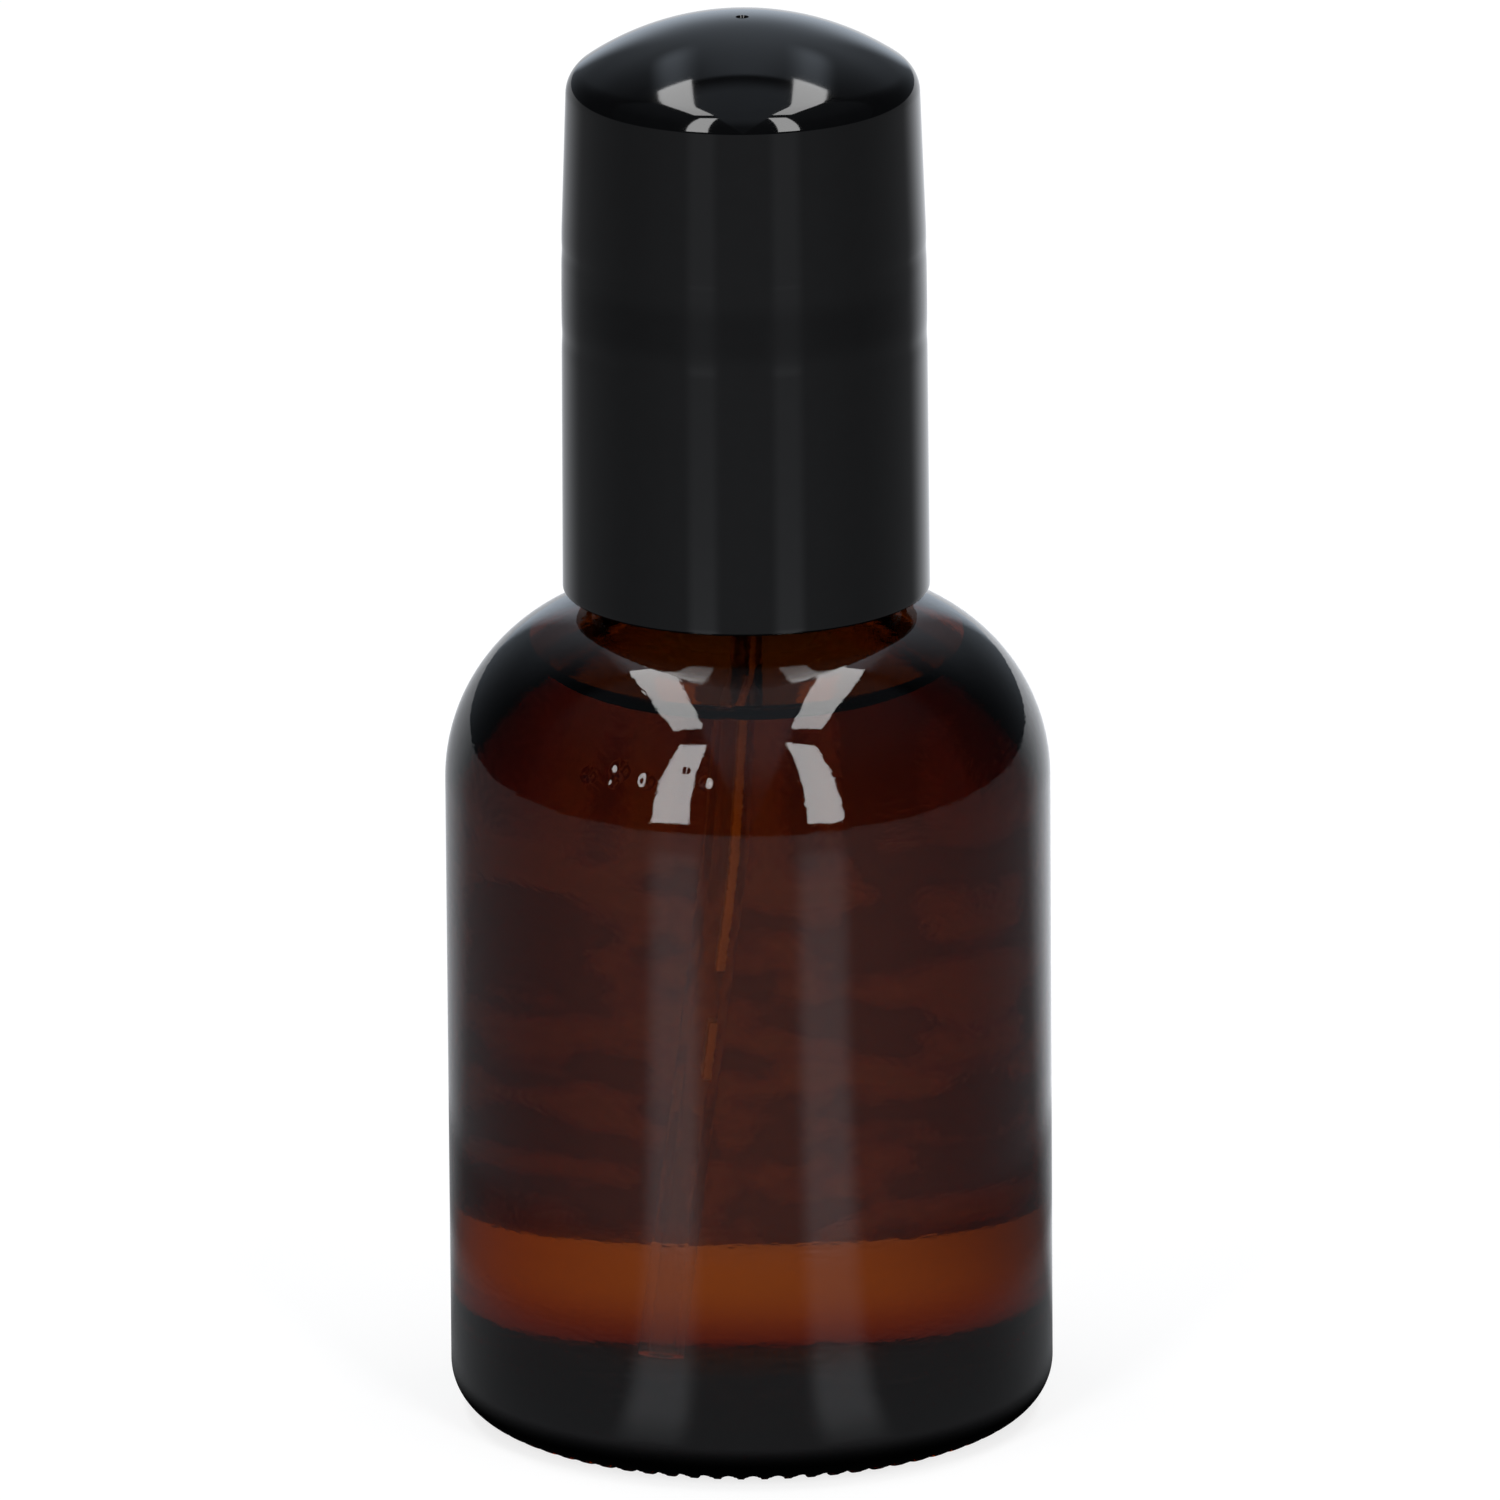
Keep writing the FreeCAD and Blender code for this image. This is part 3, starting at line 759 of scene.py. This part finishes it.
def label_rim():
    """The points round one face's edge, in order."""
    width = label_columns + 1
    rim = list(range(width))
    rim += [row * width + label_columns for row in range(1, label_rows + 1)]
    rim += [label_rows * width + column for column in range(label_columns - 1, -1, -1)]
    rim += [row * width for row in range(label_rows - 1, 0, -1)]
    return rim


def build_label(front, paste):
    """A thin sheet as a closed skin, whose pasted face has a material of its own."""
    inside = body_radius + label_film
    outside = label_high.y
    points = label_points(outside) + label_points(inside)
    width = label_columns + 1
    layer = width * (label_rows + 1)
    faces = []
    for row in range(label_rows):
        for column in range(label_columns):
            corner = row * width + column
            quad = [corner, corner + 1, corner + 1 + width, corner + width]
            faces.append(quad)
            faces.append([layer + index for index in reversed(quad)])
    rim = label_rim()
    for here, after in zip(rim, rim[1:] + rim[:1]):
        faces.append([after, here, layer + here, layer + after])
    piece = mesh_piece("label_sheet", points, faces, front)
    piece.data.materials.append(paste)
    for polygon in piece.data.polygons:
        if math.hypot(polygon.center.x, polygon.center.y) < (inside + outside) / 2:
            polygon.material_index = 1
    face_outwards(piece)
    return piece


# Overcap


def overcap_edge_round():
    """The rounding of the top edge, which touches the dome and the tapered wall from inside: its centre,
    and where it touches the wall and the dome, each as radius and height."""
    slope = math.atan2(overcap_taper, overcap_taper_length)
    normal = (math.cos(slope), math.sin(slope))
    reach = normal[0] * overcap_top_radius + normal[1] * overcap_edge - overcap_edge_rounding
    size = overcap_dome_radius - overcap_edge_rounding
    low, high = 0.0, overcap_top_radius
    for _ in range(60):
        radius = (low + high) / 2
        height = overcap_dome_centre + math.sqrt(size**2 - radius**2)
        if normal[0] * radius + normal[1] * height < reach:
            low = radius
        else:
            high = radius
    stretch = overcap_dome_radius / size
    on_wall = (radius + overcap_edge_rounding * normal[0], height + overcap_edge_rounding * normal[1])
    on_dome = (radius * stretch, overcap_dome_centre + (height - overcap_dome_centre) * stretch)
    return (radius, height), on_wall, on_dome


def overcap_outside():
    """The outside, from the inner edge of the rim up to the gate mark on top."""
    round_centre, on_wall, on_dome = overcap_edge_round()
    rim_centre = (overcap_rim_radius - overcap_rim_rounding, overcap_rim + overcap_rim_rounding)
    gate_rim = overcap_apex - gate_mark_radius**2 / (2 * overcap_dome_radius)
    gate_height = overcap_apex - gate_mark_depth
    outline = Outline(overcap_inner_radius, overcap_rim)
    outline.line(rim_centre[0], overcap_rim, 2)
    outline.arc(rim_centre, overcap_rim_radius, rim_centre[1], 6)
    outline.line(overcap_waist_radius, overcap_waist, 110)
    outline.line(*on_wall, 14)
    outline.arc(round_centre, *on_dome, 12)
    outline.arc((0, overcap_dome_centre), gate_mark_radius, gate_rim, 40)
    outline.line(gate_mark_radius * gate_mark_floor, gate_height, 2)
    outline.line(0, gate_height, 1)
    return outline


def overcap_inside():
    """The inside, from the middle of the crown down past the band that rests on the collar."""
    inner_dome = overcap_dome_radius - overcap_crown_wall
    inner_top = overcap_top_radius - overcap_wall
    inner_edge = overcap_dome_centre + math.sqrt(inner_dome**2 - inner_top**2)
    inner_waist = overcap_waist_radius - overcap_wall
    band_radius = overcap_inner_radius - stop_band_thickness
    outline = Outline(0, overcap_apex - overcap_crown_wall)
    outline.arc((0, overcap_dome_centre), inner_top, inner_edge, 24)
    outline.line(inner_waist, overcap_waist, 6)
    outline.line(inner_waist, band_top, 1)
    outline.line(band_radius, band_top, 2)
    outline.line(band_radius, band_bottom, 4)
    outline.line(overcap_inner_radius, band_bottom, 2)
    outline.line(overcap_inner_radius, overcap_rim, 8)
    return outline


def sunk_wall(radius, height, angle):
    """Faint hollows in the outside, where the thick band inside drew the wall in as it cooled."""
    if radius < overcap_inner_radius + overcap_wall / 2 or height > overcap_waist:
        return radius, height
    for middle in (band_bottom, band_top):
        radius -= sink_depth * math.exp(-(((height - middle) / sink_width) ** 2))
    return radius, height


def build_overcap(material):
    """The overcap as one closed skin, made of its outside and its inside."""
    points, faces = spun_skin(overcap_outside(), spun_segments, sunk_wall)
    inner_points, inner_faces = spun_skin(overcap_inside(), spun_segments)
    shift = len(points)
    faces += [[index + shift for index in face] for face in inner_faces]
    piece = mesh_piece("overcap_shell", points + inner_points, faces, material)
    weld(piece)
    face_outwards(piece)
    return piece


# Dip tube and spring


def tube_path():
    """The dip tube's centre line: straight out of the socket, one bend, straight down."""
    bend_start = housing_bottom - tube_straight_length
    centre = Vector((-tube_bend_radius, 0, bend_start))
    path = [Vector((0, 0, height)) for height in (tube_high.z, oil_level, bend_start)]
    for step in range(1, tube_bend_steps + 1):
        angle = tube_lean * step / tube_bend_steps
        path.append(centre + tube_bend_radius * Vector((math.cos(angle), 0, -math.sin(angle))))
    end = tube_low.z + tube_radius * math.sin(tube_lean)
    path.append(path[-1] + Vector((math.tan(tube_lean), 0, 1)) * (end - path[-1].z))
    return path


def tube_ring(path, index, radius):
    """A ring of points about one point of the path, square to the path, which lies in the XZ plane."""
    before, after = path[max(index - 1, 0)], path[min(index + 1, len(path) - 1)]
    side = Vector((0, 1, 0))
    across = (after - before).normalized().cross(side)
    ring = []
    for step in range(tube_segments):
        angle = 2 * math.pi * step / tube_segments
        ring.append(path[index] + radius * (across * math.cos(angle) + side * math.sin(angle)))
    return ring


def build_tube(material):
    """A tube with its bore: rings down the outside and back up the inside."""
    path = tube_path()
    down = range(len(path))
    rings = [tube_ring(path, index, tube_radius) for index in down]
    rings += [tube_ring(path, index, tube_bore_radius) for index in reversed(down)]
    points = [point for ring in rings for point in ring]
    faces = []
    for number in range(len(rings)):
        lower = number * tube_segments
        upper = (number + 1) % len(rings) * tube_segments
        for step in range(tube_segments):
            after = (step + 1) % tube_segments
            faces.append([lower + step, lower + after, upper + after, upper + step])
    piece = mesh_piece("dip_tube_wall", points, faces, material)
    mark_wetted(piece, lambda polygon: polygon.center.z < oil_level)
    face_outwards(piece)
    return piece


def build_spring(material):
    """A round wire wound about Z, with flat ends."""
    up = Vector((0, 0, 1))
    mean_radius = spring_high.y - spring_wire_radius
    bottom = spring_low.z + spring_wire_radius
    climb = spring_high.z - spring_low.z - 2 * spring_wire_radius
    count = spring_turns * wire_steps_per_turn
    points, faces = [], []
    for place in range(count + 1):
        angle = 2 * math.pi * place / wire_steps_per_turn
        outward = Vector((math.cos(angle), math.sin(angle), 0))
        middle = outward * mean_radius + up * (bottom + climb * place / count)
        for step in range(wire_segments):
            turn = 2 * math.pi * step / wire_segments
            points.append(middle + spring_wire_radius * (outward * math.cos(turn) + up * math.sin(turn)))
    for place in range(count):
        low, high = place * wire_segments, (place + 1) * wire_segments
        for step in range(wire_segments):
            after = (step + 1) % wire_segments
            faces.append([low + step, low + after, high + after, high + step])
    faces.append(list(range(wire_segments)))
    faces.append([count * wire_segments + step for step in reversed(range(wire_segments))])
    piece = mesh_piece("spring_wire", points, faces, material)
    face_outwards(piece)
    return piece


# Object


def dress(piece, body, node):
    """Puts a modelled piece in place of its CAD node."""
    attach(piece, body)
    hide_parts(node)
    return piece


def paint(material, *nodes):
    """Gives a material to CAD nodes that keep their shape."""
    for node in nodes:
        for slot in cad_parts[node].material_slots:
            slot.material = material


def build_object():
    """Puts the modelled pieces in place, and gives the other nodes their materials."""
    cap_black = black_plastic("black_plastic_polished", polished_roughness, (band_bottom, band_top))
    pump_black = black_plastic("black_plastic_satin", satin_roughness)
    steel = bright_steel()
    dress(build_bottle(amber_glass()), "bottle", "bottle")
    dress(build_oil(clear_oil()), "bottle", "oil")
    dress(build_label(label_front(), label_paste()), "bottle", "rear_label")
    dress(build_overcap(cap_black), "overcap", "overcap")
    dress(build_tube(tube_plastic()), "pump_unit", "dip_tube")
    spring = dress(build_spring(steel), "pump_unit", "return_spring")
    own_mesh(spring)
    paint(pump_black, "collar", "actuator", "turret")
    paint(white_plastic(), "pump_housing", "ball_retainer", "stem", "valve_plug", "piston")
    paint(seal_rubber(), "gasket")
    paint(steel, "inlet_ball")


# Studio


def build_camera():
    """A long lens that takes in frame_width at the bottle's axis."""
    data = bpy.data.cameras.new("camera")
    data.sensor_width = sensor_width
    data.lens = sensor_width * camera_distance / frame_width
    data.clip_start = 0.01
    camera = bpy.data.objects.new("camera", data)
    back = Vector((0, -math.cos(camera_elevation), math.sin(camera_elevation)))
    look = (-back).to_track_quat("-Z", "Y").to_matrix().to_4x4()
    roll = Matrix.Rotation(camera_roll, 4, "Z")
    camera.matrix_world = Matrix.Translation(camera_target + back * camera_distance) @ look @ roll
    bpy.context.scene.collection.objects.link(camera)
    bpy.context.scene.camera = camera


def softbox(name, centre, across, along, radiance):
    """A rectangular lamp facing the bottle, which the camera doesn't see. across and along are its edges."""
    lamp = bpy.data.lights.new(name, "AREA")
    lamp.shape = "RECTANGLE"
    lamp.size = across.length
    lamp.size_y = along.length
    lamp.energy = radiance * math.pi * lamp.size * lamp.size_y
    holder = bpy.data.objects.new(name, lamp)
    x, y = across.normalized(), along.normalized()
    facing = Matrix((x, y, x.cross(y))).transposed().to_4x4()
    if (facing.to_3x3() @ Vector((0, 0, -1))).dot(bottle_middle - centre) < 0:
        facing = facing @ Matrix.Rotation(math.pi, 4, "Y")
    holder.matrix_world = Matrix.Translation(centre) @ facing
    holder.visible_camera = False
    bpy.context.scene.collection.objects.link(holder)


def build_lights():
    for side, name in ((-1, "left"), (1, "right")):
        mirror = Matrix.Diagonal((side, 1, 1))
        softbox(
            "front_strip_" + name, mirror @ front_strip_centre,
            Vector((front_strip_width, 0, 0)), Vector((0, 0, front_strip_height)), front_strip_radiance,
        )
        softbox(
            "top_strip_" + name, mirror @ top_strip_centre,
            Vector((top_strip_width, 0, 0)), Vector((0, top_strip_length, 0)), top_strip_radiance,
        )


def build_world():
    """A dim studio: pale behind, dark above the front. The camera itself sees plain white."""
    world = bpy.data.worlds.new("studio")
    bpy.context.scene.world = world
    world.use_nodes = True
    nodes = Nodes(world.node_tree)
    x, y, z = nodes.split(nodes.place("Generated"))
    level = nodes.do("SQRT", nodes.total(nodes.product(x, x), nodes.product(y, y)))
    bearing = nodes.do("DIVIDE", y, nodes.do("MAXIMUM", level, TINY))
    steep = nodes.do("MAXIMUM", z, TINY)
    back = nodes.do("DIVIDE", y, steep)
    aside = nodes.do("DIVIDE", nodes.do("ABSOLUTE", x), steep)
    facing = nodes.do("POWER", nodes.do("MAXIMUM", bearing, 0.0), wall_focus)
    wall = nodes.product(facing, nodes.ramp(z, *wall_by_height), nodes.ramp(x, *wall_by_side))
    glow = nodes.product(nodes.ramp(bearing, *glow_by_bearing), nodes.ramp(z, *glow_by_height))
    lamps = nodes.product(
        nodes.ramp(aside, *lamp_inner_slant),
        nodes.ramp(aside, *lamp_outer_slant),
        nodes.ramp(back, *lamp_far_slant),
    )
    rear = nodes.product(nodes.total(wall, glow, lamps), nodes.ramp(back, *rear_slant))
    overhead = nodes.product(
        nodes.ramp(z, *overhead_by_height),
        nodes.ramp(aside, *overhead_side_slant),
        nodes.ramp(back, *overhead_far_slant),
    )
    dim = nodes.total(nodes.do("MAXIMUM", rear, overhead), studio_dimmest)
    camera_ray = nodes.add("ShaderNodeLightPath").outputs["Is Camera Ray"]
    background = world.node_tree.nodes["Background"]
    background.inputs["Color"].default_value = (*studio_tint, 1)
    nodes.link(nodes.do("MAXIMUM", dim, camera_ray), background.inputs["Strength"])


def mirrored_floor(nodes):
    """How bright the floor is in the bottle: dim at the front and sides, with two pools of light, and
    bright behind."""
    x, y, _ = nodes.split(nodes.place())
    away = nodes.do("SQRT", nodes.total(nodes.product(x, x), nodes.product(y, y)))
    away = nodes.do("MAXIMUM", away, TINY)
    bearing = nodes.do("DIVIDE", y, away)
    rightward = nodes.do("DIVIDE", x, away)
    rear = nodes.product(nodes.ramp(bearing, *floor_rear), nodes.ramp(rightward, *floor_rear_by_side))
    pools = nodes.product(
        nodes.ramp(bearing, *pool_inner_bearing),
        nodes.ramp(bearing, *pool_outer_bearing),
        nodes.ramp(away, *pool_by_distance),
        nodes.ramp(away, *pool_start),
    )
    lit = nodes.total(nodes.ramp(bearing, *floor_front), rear, pools)
    dark_ring = nodes.product(nodes.ramp(away, *dark_ring_start), nodes.ramp(away, *dark_ring_end))
    return nodes.product(lit, nodes.do("SUBTRACT", 1.0, dark_ring), nodes.ramp(away, *contact_shade))


def floor_material():
    """Pale floor. The camera sees it evenly white and softly shaded, and the bottle mirrors it dimmer."""
    material = bpy.data.materials.new("floor")
    material.use_nodes = True
    tree = material.node_tree
    tree.nodes.remove(tree.nodes["Principled BSDF"])
    nodes = Nodes(tree)
    mirrored = nodes.add("ShaderNodeEmission")
    mirrored.inputs["Color"].default_value = (*floor_tint, 1)
    nodes.link(mirrored_floor(nodes), mirrored.inputs["Strength"])
    shaded = nodes.add("ShaderNodeBsdfDiffuse")
    shaded.inputs["Color"].default_value = (floor_shading, floor_shading, floor_shading, 1)
    plain = nodes.add("ShaderNodeEmission")
    plain.inputs["Strength"].default_value = floor_white
    seen = nodes.add("ShaderNodeAddShader")
    nodes.link(shaded.outputs[0], seen.inputs[0])
    nodes.link(plain.outputs[0], seen.inputs[1])
    mix = nodes.add("ShaderNodeMixShader")
    nodes.link(nodes.add("ShaderNodeLightPath").outputs["Is Camera Ray"], mix.inputs["Fac"])
    nodes.link(mirrored.outputs[0], mix.inputs[1])
    nodes.link(seen.outputs[0], mix.inputs[2])
    nodes.link(mix.outputs[0], tree.nodes["Material Output"].inputs["Surface"])
    return material


def build_floor():
    corners = [(-1, -1), (1, -1), (1, 1), (-1, 1)]
    points = [(x * floor_half, y * floor_half, -floor_drop) for x, y in corners]
    mesh_piece("floor", points, [[0, 1, 2, 3]], floor_material(), smooth=False)


def build_studio():
    build_camera()
    build_lights()
    build_world()
    build_floor()
    scene = bpy.context.scene
    scene.view_settings.view_transform = "Standard"
    scene.cycles.max_bounces = clear_bounces
    scene.cycles.transmission_bounces = clear_bounces
    scene.cycles.glossy_bounces = glossy_bounces


build_object()
build_studio()
